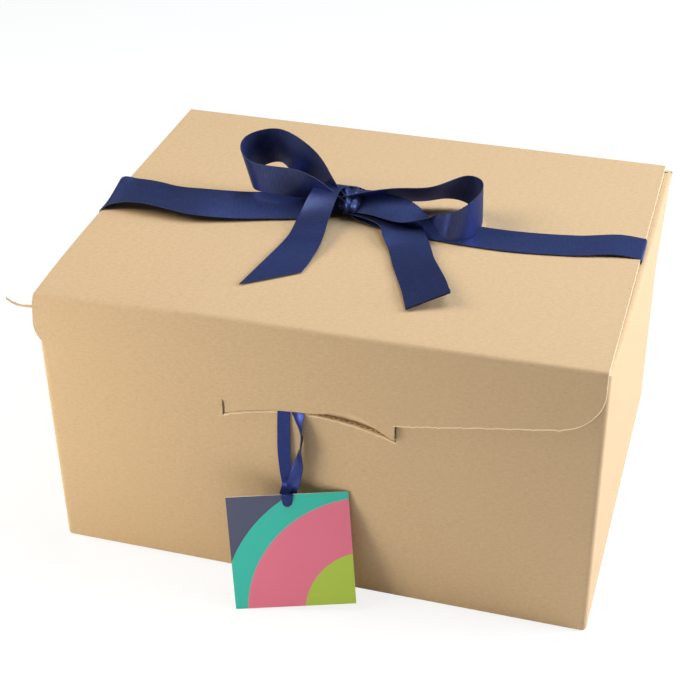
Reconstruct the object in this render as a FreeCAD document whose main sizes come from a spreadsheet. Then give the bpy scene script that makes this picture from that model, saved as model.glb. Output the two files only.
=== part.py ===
import FreeCAD, Part
import os

import Sketcher

# Corrugated kraft gift carton for bottles: a glued tube with folded base and side dust flaps,
# a hinged lid with a tongued front flap, a satin ribbon tied round the lid in a bow, and a
# square card tag on a narrow ribbon from the slot in the front panel.
# Frame: X to the right, Y to the back, Z up, origin on the floor under the middle of the carton.
# Lengths are in millimetres, angles in degrees.

SIZES = [
    ("outer_width", 330),
    ("outer_depth", 257),
    ("outer_height", 183),
    ("board", 3),
    ("fold_radius", 3),
    ("lid_width", 330),
    ("lid_shift", -1.4),
    ("lid_seat_gap", 0.8),
    ("fold_gap", 0.2),
    ("flap_gap", 0.3),
    ("base_seam", 0.8),
    ("base_seam_offset", 20),
    ("dust_flap_length", 85),
    ("dust_flap_taper", 13),
    ("dust_flap_gap", 2),
    ("glue_tab_width", 30),
    ("glue_tab_margin", 12),
    ("slot_width", 104),
    ("slot_middle", -3),
    ("slot_drop", 59),
    ("slot_rise", 9.6),
    ("slot_height", 22),
    ("flap_left_drop", 42),
    ("flap_right_drop", 36),
    ("flap_notch_drop", 55.5),
    ("flap_corner", 22),
    ("tongue_gap", 1.5),
    ("tongue_crease_rise", 17),
    ("tongue_slope", 0.47),
    ("tongue_length", 30),
    ("ribbon_width", 25),
    ("ribbon_thickness", 0.4),
    ("ribbon_gap", 0.15),
    ("band_right_line", 11),
    ("band_left_line", -18),
    ("knot_across", -20),
    ("knot_line", 9),
    ("knot_length", 18),
    ("knot_width", 15),
    ("knot_height", 13),
    ("knot_round", 5),
    ("tag_width", 72),
    ("tag_thickness", 0.6),
    ("tag_hole", 4.4),
    ("tag_hole_margin", 6),
    ("tag_yaw_angle", 14.5),
    ("tag_lean_angle", 15.5),
    ("tag_roll_angle", 4),
    ("tag_middle", -9),
    ("tag_gap", 0.3),
    ("tag_ribbon_width", 8),
    ("tag_ribbon_line", -13),
    ("tag_ribbon_tuck", 14),
]

# Places that follow from the sizes, as sheet formulas.
PLACES = [
    ("wall_left", "=-outer_width / 2"),
    ("wall_right", "=outer_width / 2"),
    ("wall_front", "=-outer_depth / 2 + board + flap_gap"),
    ("wall_back", "=outer_depth / 2"),
    ("wall_top", "=outer_height - board - lid_seat_gap"),
    ("inner_left", "=wall_left + board"),
    ("inner_right", "=wall_right - board"),
    ("inner_front", "=wall_front + board"),
    ("inner_back", "=wall_back - board"),
    ("base_top", "=2 * board"),
    ("seam_front", "=base_seam_offset - base_seam / 2"),
    ("seam_back", "=base_seam_offset + base_seam / 2"),
    ("seam_left", "=-base_seam / 2"),
    ("seam_right", "=base_seam / 2"),
    ("dust_under", "=wall_top - board"),
    ("dust_front", "=inner_front + dust_flap_gap"),
    ("dust_back", "=inner_back - dust_flap_gap"),
    ("dust_front_taper", "=dust_front + dust_flap_taper"),
    ("dust_back_taper", "=dust_back - dust_flap_taper"),
    ("dust_left_end", "=inner_left + dust_flap_length"),
    ("dust_left_taper", "=dust_left_end - dust_flap_taper"),
    ("dust_right_end", "=inner_right - dust_flap_length"),
    ("dust_right_taper", "=dust_right_end + dust_flap_taper"),
    ("glue_tab_face", "=inner_left + board"),
    ("glue_tab_edge", "=inner_back - glue_tab_width"),
    ("glue_tab_low", "=base_top + glue_tab_margin"),
    ("glue_tab_top", "=dust_under - glue_tab_margin"),
    ("slot_left", "=slot_middle - slot_width / 2"),
    ("slot_right", "=slot_middle + slot_width / 2"),
    ("slot_crown", "=outer_height - slot_drop"),
    ("slot_low", "=slot_crown - slot_rise"),
    ("slot_top", "=slot_crown + slot_height"),
    ("slot_cut", "=board + flap_gap"),
    ("slot_radius", "=(slot_width ^ 2 / 4 + slot_rise ^ 2) / (2 * slot_rise)"),
    ("roll_radius", "=board / 2"),
    ("roll_height", "=outer_height - board / 2"),
    ("back_roll", "=outer_depth / 2 - board / 2"),
    ("front_roll", "=-outer_depth / 2 + board / 2"),
    ("lid_front", "=front_roll + roll_radius + fold_gap"),
    ("lid_left", "=lid_shift - lid_width / 2"),
    ("lid_right", "=lid_shift + lid_width / 2"),
    ("lid_under", "=outer_height - board"),
    ("flap_face", "=-outer_depth / 2"),
    ("flap_left_end", "=outer_height - flap_left_drop"),
    ("flap_right_end", "=outer_height - flap_right_drop"),
    ("flap_notch", "=outer_height - flap_notch_drop"),
    ("tongue_left", "=slot_left + tongue_gap"),
    ("tongue_right", "=slot_right - tongue_gap"),
    ("crease_end", "=slot_low + tongue_crease_rise"),
    ("crease_crown", "=slot_crown + tongue_crease_rise"),
    ("crease_radius", "=((tongue_right - tongue_left) ^ 2 / 4 + slot_rise ^ 2) / (2 * slot_rise)"),
    ("tongue_band", "=board * sqrt(1 + tongue_slope ^ 2) / tongue_slope"),
    ("band_end", "=crease_end + tongue_band"),
    ("band_crown", "=crease_crown + tongue_band"),
    ("tag_right", "=tag_width / 2"),
    ("tag_left", "=-tag_width / 2"),
    ("tag_hole_across", "=0"),
    ("tag_hole_up", "=tag_width / 2 - tag_hole_margin"),
    ("tuck_low", "=slot_crown - tag_ribbon_tuck"),
    ("tuck_seat", "=slot_crown + ribbon_gap"),
    ("tuck_top", "=tuck_seat + ribbon_thickness"),
    ("tuck_face", "=inner_front + ribbon_gap"),
    ("tuck_back", "=tuck_face + ribbon_thickness"),
    ("tuck_side", "=tag_ribbon_line - tag_ribbon_width"),
]

# The bow's stations, as offsets from the lid's top under the knot, in millimetres.
# Each row is the middle of the ribbon and then its direction across, which is one long where
# the ribbon is at its full width, longer at a slanted cut and shorter where it is gathered.
LOOP_LEFT = [
    (2, 0, 7, 0.3, -0.7, 0.5),
    (-10, 4, 14, 0.5, -0.7, 0.5),
    (-21, 7, 25, 0.4, -0.4, 0.8),
    (-34, 8, 31, 0.2, -0.1, 1),
    (-47, 16, 32, 0, -0.2, 1),
    (-57, 14, 30, -0.1, -0.2, 1),
    (-63, 7, 28, -0.2, -0.2, 1),
    (-63, -2, 24, -0.2, -0.2, 1),
    (-56, -10, 22, -0.1, -0.3, 0.9),
    (-47, -10, 21, 0, -0.4, 0.9),
    (-30, -5, 18, 0.2, -0.5, 0.8),
    (-19, -3, 14, 0.4, -0.6, 0.7),
    (0, -2, 7, 0.3, -0.6, 0.4),
]
LOOP_RIGHT = [
    (-2, 0, 8, 0.1, -0.7, 0.5),
    (10, 1, 11, 0.2, -0.8, 0.6),
    (30, 5, 13, 0.2, -0.8, 0.6),
    (50, 10, 14, 0.3, -0.7, 0.6),
    (65, 17, 17, 0.3, -0.4, 0.8),
    (73, 20, 16, 0.1, -0.3, 0.9),
    (80, 16, 15, 0.1, -0.2, 1),
    (85, 8, 15, 0, -0.1, 1),
    (86, -3, 15, 0, -0.1, 1),
    (83, -14, 14, 0, -0.1, 1),
    (77, -20, 13, 0, -0.3, 0.9),
    (70, -24, 12, 0.1, -0.5, 0.9),
    (62, -27, 12, 0.2, -0.5, 0.8),
    (50, -22, 12, 0.1, -0.6, 0.7),
    (36, -16, 12, 0.1, -0.7, 0.6),
    (20, -9, 10, 0.2, -0.7, 0.4),
    (0, -2, 7, 0.3, -0.6, 0.3),
]
TAIL_LEFT = [
    (3, 0, 6, -0.6, 0.3, -0.1),
    (-6, -1, 9, -0.7, 0.6, -0.2),
    (-13, -12, 6, -0.9, 0.4, -0.2),
    (-13, -23, 4, -0.9, 0.3, -0.2),
    (-12, -38, 3, -0.9, 0.3, -0.2),
    (-13, -52, 2, -1, 0.2, -0.1),
    (-14, -66, 1, -1, 0.1, 0),
    (-18, -91, 1, -1.2, -0.9, 0),
]
TAIL_RIGHT = [
    (0, 0, 4, -0.2, -0.6, 0),
    (18, -2, 5, -0.3, -0.9, 0),
    (30, -7, 5, -0.5, -0.8, 0),
    (39, -15, 5, -0.8, -0.6, 0),
    (44, -25, 4, -0.9, -0.5, 0),
    (51, -38, 3, -0.9, -0.4, -0.1),
    (57, -53, 3, -0.9, -0.4, -0.1),
    (64, -68, 4, -0.9, -0.4, -0.2),
    (71, -83, 5, -0.9, -0.5, -0.2),
    (77, -98, 5, -0.9, -0.5, -0.3),
]

# The free stretches of the band that runs across the lid, in the same way.
BAND_RIGHT = [
    (3, -4, 1, 0, 1, 0),
    (100, -11, 1, 0, 1, 0),
    (144, -6, 1, 0, 1, 0),
    (168, 0, 2, 0, 1, 0),
]
BAND_LEFT = [
    (-142, -25, 7, 0, 0.95, 0.3),
    (-132, -23, 8, 0, 1, 0.15),
    (-119, -24, 9, 0, 1, 0.1),
    (-104, -25, 8, 0, 1, 0.1),
    (-87, -26, 8, 0, 1, 0.2),
    (-63, -20, 6, 0, 0.95, 0.25),
    (-43, -13, 5, 0, 0.95, 0.25),
    (-25, -7, 3, 0, 1, 0.15),
    (-3, -4, 1, 0, 1, 0),
]

# The tag ribbon's strands. The upper ones start from the slot's lip, and their heights are shares
# of the fall from the lip to the tag's hole. The lower ones start from the hole and follow the
# tag's own directions.
STRAND_LEFT_UPPER = [
    (-4.2, 0, 0, 1, 0, 0),
    (-4.2, -1, -0.25, 1, 0, 0),
    (-3, -2, -0.56, 1, 0, 0),
]
STRAND_LEFT_LOWER = [
    (-2, 6, -1, 0.7, 0, 0),
    (0, 0, -1, 0.35, 0, 0),
]
STRAND_RIGHT_LOWER = [
    (0, 0, 1.2, 0.35, 0, 0),
    (1, 7, 1.6, 0.8, 0, 0),
    (3, 15, 2, 1, 0, 0),
]
STRAND_RIGHT_UPPER = [
    (4, -4, -0.47, 0.9, -0.3, 0),
    (4, -5, -0.33, 0.1, -1, 0),
    (4.2, -3, -0.18, 0.9, -0.4, 0),
    (4.2, 0, 0, 1, 0, 0),
]

# The corners of a ribbon's section that each side joins, so that both wide sides run alike.
SECTION_SIDES = ((0, 1), (1, 2), (3, 2), (0, 3))

RIGHT_ANGLE = 90

doc = FreeCAD.newDocument("bottle_box")
sheet = doc.addObject("Spreadsheet::Sheet", "sizes")


def fill_sheet():
    """Write the driving sizes and the places into the sheet, one row each."""
    for row, (alias, value) in enumerate(SIZES + PLACES, start=1):
        sheet.set(f"A{row}", alias)
        sheet.set(f"B{row}", str(value))
        sheet.setAlias(f"B{row}", alias)
    doc.recompute()


def size(alias):
    """The number that the sheet holds under this alias."""
    return float(sheet.get(alias))


def new_body(label):
    """An empty body with its own label."""
    body = doc.addObject("PartDesign::Body", label)
    body.Label = label
    return body


def new_sketch(body, name, plane, offset=None):
    """A sketch on one of the body's origin planes, moved along the plane's normal."""
    sketch = body.newObject("Sketcher::SketchObject", name)
    support = [item for item in body.Origin.OriginFeatures if item.Role == plane][0]
    sketch.AttachmentSupport = (support, "")
    sketch.MapMode = "FlatFace"
    if offset:
        sketch.setExpression("AttachmentOffset.Base.z", offset)
    return sketch


def pin(sketch, edge, end, across, up):
    """Hold one end of a sketch edge at two places of the sheet."""
    for kind, alias in (("DistanceX", across), ("DistanceY", up)):
        number = sketch.addConstraint(Sketcher.Constraint(kind, -1, 1, edge, end, size(alias)))
        name = f"{alias}_{number}"
        sketch.renameConstraint(number, name)
        sketch.setExpression(f"Constraints.{name}", f"sizes.{alias}")


def outline(sketch, corners):
    """Close a loop through corners, each a pair of places.

    A corner with two more names starts an arc: the place of its crown, and its radius.
    """
    count = len(corners)
    ends = []
    for index, corner in enumerate(corners):
        following = corners[(index + 1) % count]
        start = FreeCAD.Vector(size(corner[0]), size(corner[1]), 0)
        stop = FreeCAD.Vector(size(following[0]), size(following[1]), 0)
        if len(corner) > 2:
            crown = FreeCAD.Vector((start.x + stop.x) / 2, size(corner[2]), 0)
            sketch.addGeometry(Part.Arc(start, crown, stop), False)
            number = sketch.addConstraint(Sketcher.Constraint("Radius", index, size(corner[3])))
            name = f"{corner[3]}_{number}"
            sketch.renameConstraint(number, name)
            sketch.setExpression(f"Constraints.{name}", f"sizes.{corner[3]}")
            ends.append((1, 2) if start.x > stop.x else (2, 1))
        else:
            sketch.addGeometry(Part.LineSegment(start, stop), False)
            ends.append((1, 2))
    for index, corner in enumerate(corners):
        before = (index - 1) % count
        link = Sketcher.Constraint("Coincident", before, ends[before][1], index, ends[index][0])
        sketch.addConstraint(link)
        pin(sketch, index, ends[index][0], corner[0], corner[1])


def rectangle(sketch, left, right, low, high):
    """A rectangle between four places."""
    outline(sketch, [(left, low), (right, low), (right, high), (left, high)])


def circle(sketch, across, up, radius):
    """A circle about two places, with its radius from an expression."""
    edge = sketch.addGeometry(Part.Circle(FreeCAD.Vector(0, 0, 0), FreeCAD.Vector(0, 0, 1), 1), False)
    pin(sketch, edge, 3, across, up)
    number = sketch.addConstraint(Sketcher.Constraint("Radius", edge, 1))
    sketch.renameConstraint(number, f"radius_{edge}")
    sketch.setExpression(f"Constraints.radius_{edge}", radius)


def pad(body, name, sketch, length, reverse=False):
    """Grow a sketch into material; the length is an expression."""
    feature = body.newObject("PartDesign::Pad", name)
    feature.Profile = sketch
    feature.Reversed = reverse
    feature.setExpression("Length", length)
    doc.recompute()
    return feature


def pocket(body, name, sketch, length, reverse=False):
    """Cut a sketch out of the body; raises if nothing was cut."""
    before = body.Shape.Volume
    feature = body.newObject("PartDesign::Pocket", name)
    feature.Profile = sketch
    feature.Reversed = reverse
    feature.setExpression("Length", length)
    doc.recompute()
    if not body.Shape.Volume < before:
        raise RuntimeError(f"{name} cuts nothing")
    return feature


def round_edges(body, name, base, radius, wanted):
    """Round the edges of a feature that a test of their two end points picks."""
    names = []
    for number, edge in enumerate(base.Shape.Edges, start=1):
        first = edge.Vertexes[0].Point
        last = edge.Vertexes[-1].Point
        if wanted(first, last):
            names.append(f"Edge{number}")
    feature = body.newObject("PartDesign::Fillet", name)
    feature.Base = (base, names)
    feature.setExpression("Radius", radius)
    doc.recompute()
    return feature


def near(first, second):
    """Whether two lengths are the same within a hundredth of a millimetre."""
    return abs(first - second) < 0.01


def build_carton():
    """The glued tube with its two-layer base, side dust flaps, glue tab and front slot."""
    body = new_body("carton")
    footprint = new_sketch(body, "footprint", "XY_Plane")
    rectangle(footprint, "wall_left", "wall_right", "wall_front", "wall_back")
    block = pad(body, "block", footprint, "sizes.wall_top")
    top = size("wall_top")
    side = size("wall_right")

    def folded(first, last):
        """The corner, base and dust flap folds; the top edges of front and back are cut."""
        upright = not near(first.z, last.z)
        base = near(first.z, 0) and near(last.z, 0)
        both_top = near(first.z, top) and near(last.z, top)
        side_top = both_top and near(abs(first.x), side) and near(first.x, last.x)
        return upright or base or side_top

    round_edges(body, "folds", block, "sizes.fold_radius", folded)
    hollow = new_sketch(body, "hollow", "XY_Plane", "sizes.wall_top")
    rectangle(hollow, "inner_left", "inner_right", "inner_front", "inner_back")
    pocket(body, "inside", hollow, "sizes.wall_top - sizes.base_top")
    for hand in ("left", "right"):
        root = f"inner_{hand}"
        end = f"dust_{hand}_end"
        taper = f"dust_{hand}_taper"
        shape = new_sketch(body, f"dust_shape_{hand}", "XY_Plane", "sizes.dust_under")
        outline(shape, [
            (root, "dust_front"), (taper, "dust_front"), (end, "dust_front_taper"),
            (end, "dust_back_taper"), (taper, "dust_back"), (root, "dust_back"),
        ])
        pad(body, f"dust_flap_{hand}", shape, "sizes.board")
    tab = new_sketch(body, "tab_shape", "XY_Plane", "sizes.glue_tab_low")
    rectangle(tab, "inner_left", "glue_tab_face", "glue_tab_edge", "inner_back")
    pad(body, "glue_tab", tab, "sizes.glue_tab_top - sizes.glue_tab_low")
    slot = new_sketch(body, "slot_shape", "XZ_Plane", "-sizes.wall_front")
    outline(slot, [
        ("slot_left", "slot_low"), ("slot_left", "slot_top"), ("slot_right", "slot_top"),
        ("slot_right", "slot_low", "slot_crown", "slot_radius"),
    ])
    pocket(body, "slot", slot, "sizes.slot_cut")
    seam = new_sketch(body, "outer_seam_shape", "XY_Plane")
    rectangle(seam, "inner_left", "inner_right", "seam_front", "seam_back")
    pocket(body, "outer_seam", seam, "sizes.board", reverse=True)
    cross = new_sketch(body, "inner_seam_shape", "XY_Plane", "sizes.base_top")
    rectangle(cross, "seam_left", "seam_right", "inner_front", "inner_back")
    pocket(body, "inner_seam", cross, "sizes.board")
    return body


def add_roll(body, place):
    """The round fold along one edge of the lid, about which the board turns."""
    sketch = new_sketch(body, f"roll_{place}", "YZ_Plane", "sizes.lid_left")
    circle(sketch, place, "roll_height", "sizes.roll_radius")
    return pad(body, f"fold_{place}", sketch, "sizes.lid_width")


def build_lid():
    """The lid panel with the round fold that hinges it to the back panel."""
    body = new_body("lid_panel")
    profile = new_sketch(body, "panel_profile", "YZ_Plane", "sizes.lid_left")
    rectangle(profile, "lid_front", "back_roll", "lid_under", "outer_height")
    pad(body, "panel", profile, "sizes.lid_width")
    add_roll(body, "back_roll")
    return body


def build_flap():
    """The front flap: tapered ends, round corners and a tongue that slopes into the slot."""
    body = new_body("front_flap")
    shape = new_sketch(body, "flap_shape", "XZ_Plane", "-sizes.flap_face")
    outline(shape, [
        ("lid_left", "roll_height"), ("lid_right", "roll_height"),
        ("lid_right", "flap_right_end"), ("tongue_right", "flap_notch"),
        ("tongue_right", "crease_end", "crease_crown", "crease_radius"),
        ("tongue_left", "crease_end"), ("tongue_left", "flap_notch"),
        ("lid_left", "flap_left_end"),
    ])
    slab = pad(body, "slab", shape, "sizes.board", reverse=True)
    ends = {"flap_left_end": "lid_left", "flap_right_end": "lid_right"}

    def free_corner(first, last):
        """The two outer lower corners, which run through the board's thickness."""
        across = near(first.x, last.x) and near(first.z, last.z)
        places = [near(first.z, size(up)) and near(first.x, size(out)) for up, out in ends.items()]
        return across and any(places)

    round_edges(body, "free_corners", slab, "sizes.flap_corner", free_corner)
    add_roll(body, "front_roll")
    crease = new_sketch(body, "tongue_root", "XZ_Plane", "-sizes.flap_face")
    outline(crease, [
        ("tongue_left", "crease_end", "crease_crown", "crease_radius"),
        ("tongue_right", "crease_end"),
        ("tongue_right", "band_end", "band_crown", "crease_radius"),
        ("tongue_left", "band_end"),
    ])
    tongue = body.newObject("PartDesign::Pad", "tongue")
    tongue.Profile = crease
    tongue.UseCustomVector = True
    tongue.AlongSketchNormal = False
    tongue.Direction = FreeCAD.Vector(0, size("tongue_slope"), -1)
    tongue.setExpression("Length", "sizes.tongue_length")
    doc.recompute()
    return body


def ruled(first, second):
    """One straight-edged surface between two edges, each a pair of points."""
    return [Part.makeRuledSurface(Part.makeLine(*first), Part.makeLine(*second))]


def creased(first, second):
    """Two flat triangles between two edges, for a narrow ribbon that turns sharply."""
    corners = ((first[0], first[1], second[1]), (first[0], second[1], second[0]))
    return [Part.Face(Part.makePolygon([*three, three[0]])) for three in corners]


def strip(stations, thickness, join):
    """A thin ribbon through stations, each a middle point and the vector to its edge.

    The section at each station is a flat rectangle that faces square to the path, and join
    makes the faces between an edge of one rectangle and the same edge of the next.
    """
    middles = [middle for middle, half in stations]
    runs = [(after - before).normalize() for before, after in zip(middles, middles[1:])]
    sections = []
    for index, (middle, half) in enumerate(stations):
        along = runs[max(index - 1, 0)] + runs[min(index, len(runs) - 1)]
        rise = along.cross(half).normalize() * (thickness / 2)
        sections.append([middle - half - rise, middle + half - rise, middle + half + rise, middle - half + rise])
    faces = []
    for first, second in zip(sections, sections[1:]):
        for left, right in SECTION_SIDES:
            faces += join((first[left], first[right]), (second[left], second[right]))
    for section in (sections[0], sections[-1]):
        faces.append(Part.Face(Part.makePolygon(section + section[:1])))
    shell = Part.makeShell(faces)
    shell.sewShape()
    solid = Part.makeSolid(shell)
    if solid.Volume < 0:
        solid.reverse()
    return solid


def placed(rows, width, place):
    """The stations that rows of offset and direction across give in a placement."""
    turned = place.Rotation
    stations = []
    for row in rows:
        middle = place.multVec(FreeCAD.Vector(*row[:3]))
        half = turned.multVec(FreeCAD.Vector(*row[3:])) * (width / 2)
        stations.append((middle, half))
    return stations


def feature(label, shape):
    """A document object that holds a shape made from the sheet's sizes."""
    item = doc.addObject("Part::Feature", label)
    item.Label = label
    item.Shape = shape
    item.Placement = FreeCAD.Placement()
    return item


def build_bow():
    """The satin ribbon: a band round the lid, tied in a knot with two loops and two tails."""
    width = size("ribbon_width")
    thickness = size("ribbon_thickness")
    lift = size("ribbon_gap") + thickness / 2
    top = size("outer_height")
    knot_middle = FreeCAD.Vector(size("knot_across"), size("knot_line"), top)
    place = FreeCAD.Placement(knot_middle, FreeCAD.Rotation())
    edge = FreeCAD.Vector(0, width / 2, 0)

    def round_edge(across, line, sense):
        """The two stations where the band turns under the lid's side edge."""
        upper = FreeCAD.Vector(across, line, top + lift)
        lower = FreeCAD.Vector(across, line, size("lid_under") - lift)
        return [(upper, edge), (lower, edge)][::sense]

    band = placed(BAND_RIGHT, width, place)
    band += round_edge(size("lid_right") + lift, size("band_right_line"), 1)
    band += round_edge(size("lid_left") - lift, size("band_left_line"), -1)
    band += placed(BAND_LEFT, width, place)
    pieces = [strip(band, thickness, ruled)]
    for rows in (LOOP_LEFT, LOOP_RIGHT, TAIL_LEFT, TAIL_RIGHT):
        pieces.append(strip(placed(rows, width, place), thickness, ruled))
    corner = FreeCAD.Vector(-size("knot_length") / 2, -size("knot_width") / 2, lift)
    knot = Part.makeBox(size("knot_length"), size("knot_width"), size("knot_height"), knot_middle + corner)
    shape = knot.makeFillet(size("knot_round"), knot.Edges).Solids[0]
    for piece in pieces:
        shape = shape.fuse(piece).Solids[0]
    return feature("ribbon_bow", shape)


def build_tag():
    """The square card tag with its hole, leaning back against the front panel."""
    body = new_body("tag")
    card = new_sketch(body, "card_shape", "XY_Plane")
    rectangle(card, "tag_left", "tag_right", "tag_left", "tag_right")
    pad(body, "card", card, "sizes.tag_thickness")
    hole = new_sketch(body, "hole_shape", "XY_Plane")
    circle(hole, "tag_hole_across", "tag_hole_up", "sizes.tag_hole / 2")
    pocket(body, "hole", hole, "sizes.tag_thickness", reverse=True)
    turn = FreeCAD.Rotation(FreeCAD.Vector(0, 0, 1), size("tag_yaw_angle"))
    turn = turn * FreeCAD.Rotation(FreeCAD.Vector(1, 0, 0), RIGHT_ANGLE - size("tag_lean_angle"))
    turn = turn * FreeCAD.Rotation(FreeCAD.Vector(0, 0, 1), size("tag_roll_angle"))
    corners = [turn.multVec(vertex.Point) for vertex in body.Shape.Vertexes]
    back = size("wall_front") - size("tag_gap") - max(corner.y for corner in corners)
    rise = size("tag_gap") - min(corner.z for corner in corners)
    body.Placement = FreeCAD.Placement(FreeCAD.Vector(size("tag_middle"), back, rise), turn)
    doc.recompute()
    return body


def build_tag_ribbon(tag):
    """The narrow ribbon that hangs from the slot's lip and passes through the tag's hole."""
    width = size("tag_ribbon_width")
    out = size("wall_front") - size("tag_gap")
    lip = FreeCAD.Vector(size("tag_ribbon_line"), out, size("tuck_seat") + size("ribbon_thickness") / 2)
    hole = FreeCAD.Vector(size("tag_hole_across"), size("tag_hole_up"), 0)
    at_lip = FreeCAD.Placement(lip, FreeCAD.Rotation())
    at_hole = FreeCAD.Placement(tag.Placement.multVec(hole), tag.Placement.Rotation)
    fall = lip.z - at_hole.Base.z

    def hung(rows):
        """The rows with their shares of the fall turned into lengths."""
        return [row[:2] + (row[2] * fall,) + row[3:] for row in rows]

    stations = placed(hung(STRAND_LEFT_UPPER), width, at_lip)
    stations += placed(STRAND_LEFT_LOWER, width, at_hole)
    stations += placed(STRAND_RIGHT_LOWER, width, at_hole)
    stations += placed(hung(STRAND_RIGHT_UPPER), width, at_lip)
    return feature("tag_ribbon", strip(stations, size("ribbon_thickness"), creased))


def build_tuck():
    """The tag ribbon's two ends side by side, over the slot's lip and down inside the front."""
    body = new_body("tag_ribbon_tuck")
    profile = new_sketch(body, "tuck_profile", "YZ_Plane", "sizes.tuck_side")
    outline(profile, [
        ("wall_front", "tuck_seat"), ("wall_front", "tuck_top"), ("tuck_back", "tuck_top"),
        ("tuck_back", "tuck_low"), ("tuck_face", "tuck_low"), ("tuck_face", "tuck_seat"),
    ])
    pad(body, "tuck", profile, "2 * sizes.tag_ribbon_width")
    return body


fill_sheet()
tag = build_tag()
SUB_PARTS = [
    build_carton(),
    build_lid(),
    build_flap(),
    build_bow(),
    tag,
    build_tag_ribbon(tag),
    build_tuck(),
]
doc.recompute()
for item in doc.Objects:
    if any(word in item.State for word in ("Invalid", "Error")):
        raise RuntimeError(f"{item.Name} failed")
for item in SUB_PARTS:
    if item.Shape.isNull() or not item.Shape.isValid():
        raise RuntimeError(f"{item.Label} has no valid shape")
os.makedirs("parts", exist_ok=True)
for item in SUB_PARTS:
    item.Shape.exportStep(f"parts/{item.Label}.step")
    print(item.Label, len(item.Shape.Solids), round(item.Shape.Volume), item.Shape.BoundBox)
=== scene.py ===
"""Looks of a corrugated gift box for bottles, with a satin bow and a card tag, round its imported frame.

Lengths are in metres: X to the right, Y to the back, Z up, and the box stands on Z = 0.
"""

import math

import bmesh
import bpy
import numpy as np
from bpy.props import FloatProperty, FloatVectorProperty, PointerProperty
from mathutils import Matrix, Vector


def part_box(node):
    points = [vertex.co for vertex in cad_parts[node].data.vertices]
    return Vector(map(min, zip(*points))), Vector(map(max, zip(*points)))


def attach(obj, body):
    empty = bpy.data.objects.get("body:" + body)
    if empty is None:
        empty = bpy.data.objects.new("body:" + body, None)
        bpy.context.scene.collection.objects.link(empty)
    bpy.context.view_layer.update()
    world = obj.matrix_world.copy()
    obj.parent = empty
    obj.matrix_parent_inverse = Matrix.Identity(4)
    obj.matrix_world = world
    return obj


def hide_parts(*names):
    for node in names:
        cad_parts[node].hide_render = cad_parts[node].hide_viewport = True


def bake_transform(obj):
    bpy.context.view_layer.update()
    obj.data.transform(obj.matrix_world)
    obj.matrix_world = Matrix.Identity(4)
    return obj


bl_info = {
    "name": "Bottle Gift Box",
    "version": (1, 0, 0),
    "blender": (4, 5, 0),
    "location": "View3D > Sidebar > Gift Box",
    "description": "Corrugated gift box with a hinged lid, satin bow and card tag",
    "category": "Add Mesh",
}

MM = 0.001

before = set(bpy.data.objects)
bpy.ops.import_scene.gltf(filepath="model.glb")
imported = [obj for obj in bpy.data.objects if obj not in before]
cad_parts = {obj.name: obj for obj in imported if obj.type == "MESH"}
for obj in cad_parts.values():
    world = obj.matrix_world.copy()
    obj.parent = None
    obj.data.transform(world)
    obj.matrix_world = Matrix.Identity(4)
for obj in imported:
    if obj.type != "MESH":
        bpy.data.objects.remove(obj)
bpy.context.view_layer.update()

CARTON_LOW, CARTON_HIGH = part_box("carton")
LID_LOW, LID_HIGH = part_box("lid_panel")
FLAP_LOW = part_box("front_flap")[0]
LIP_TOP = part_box("tag_ribbon_tuck")[1].z
BOARD = LID_HIGH.z - LID_LOW.z


def linear(code):
    """The linear colour of an sRGB hex code such as C89B6C."""
    parts = [int(code[at:at + 2], 16) / 255 for at in (0, 2, 4)]
    return [part / 12.92 if part <= 0.04045 else ((part + 0.055) / 1.055) ** 2.4 for part in parts]


def length_setting(name, description, millimetres):
    """A length setting, kept in metres."""
    return FloatProperty(name=name, description=description, default=millimetres * MM, unit="LENGTH")


def angle_setting(name, description, degrees):
    """An angle setting, kept in radians."""
    return FloatProperty(
        name=name, description=description, default=math.radians(degrees), subtype="ANGLE"
    )


def colour_setting(name, description, code):
    """A colour setting from an sRGB hex code."""
    return FloatVectorProperty(
        name=name, description=description, default=linear(code), subtype="COLOR", min=0, max=1
    )


class BoardSettings(bpy.types.PropertyGroup):
    """Sizes and colours of the corrugated board."""

    fold: length_setting("Fold Radius", "Outer radius of a folded edge", 3)
    flute: length_setting("Flute Pitch", "Distance between two flutes", 6.3)
    liner: colour_setting("Liner", "Colour of the outer kraft paper", "CFAF87")
    core: colour_setting("Cut Edge", "Colour of the fluted paper in a cut edge", "F0DAB6")


class RibbonSettings(bpy.types.PropertyGroup):
    """Sizes and colours of the satin ribbons."""

    width: length_setting("Width", "Width of the wide ribbon", 25)
    narrow: length_setting("Narrow Width", "Width of the tag's ribbon", 8)
    thickness: length_setting("Thickness", "Thickness of both ribbons", 0.4)
    colour: colour_setting("Colour", "Colour of the satin", "3E4875")
    narrow_colour: colour_setting("Narrow Colour", "Colour of the tag ribbon's satin", "2A3467")


class TagSettings(bpy.types.PropertyGroup):
    """Sizes of the card tag and how it leans."""

    side: length_setting("Side", "Side of the square card", 72)
    thickness: length_setting("Thickness", "Thickness of the card", 0.6)
    hole: length_setting("Hole", "Diameter of the hole", 4.4)
    hole_margin: length_setting("Hole Margin", "From the card's top edge to the hole's middle", 6)
    yaw: angle_setting("Yaw", "Turn about the upright axis", 14.5)
    lean: angle_setting("Lean", "Lean of the top towards the box", 15.5)
    roll: angle_setting("Roll", "Turn in the card's own plane", 4)
    across: length_setting("Across", "Place of the card's middle across the box", -9)
    gap: length_setting("Gap", "Clearance to the box and to the floor", 0.3)


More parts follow.
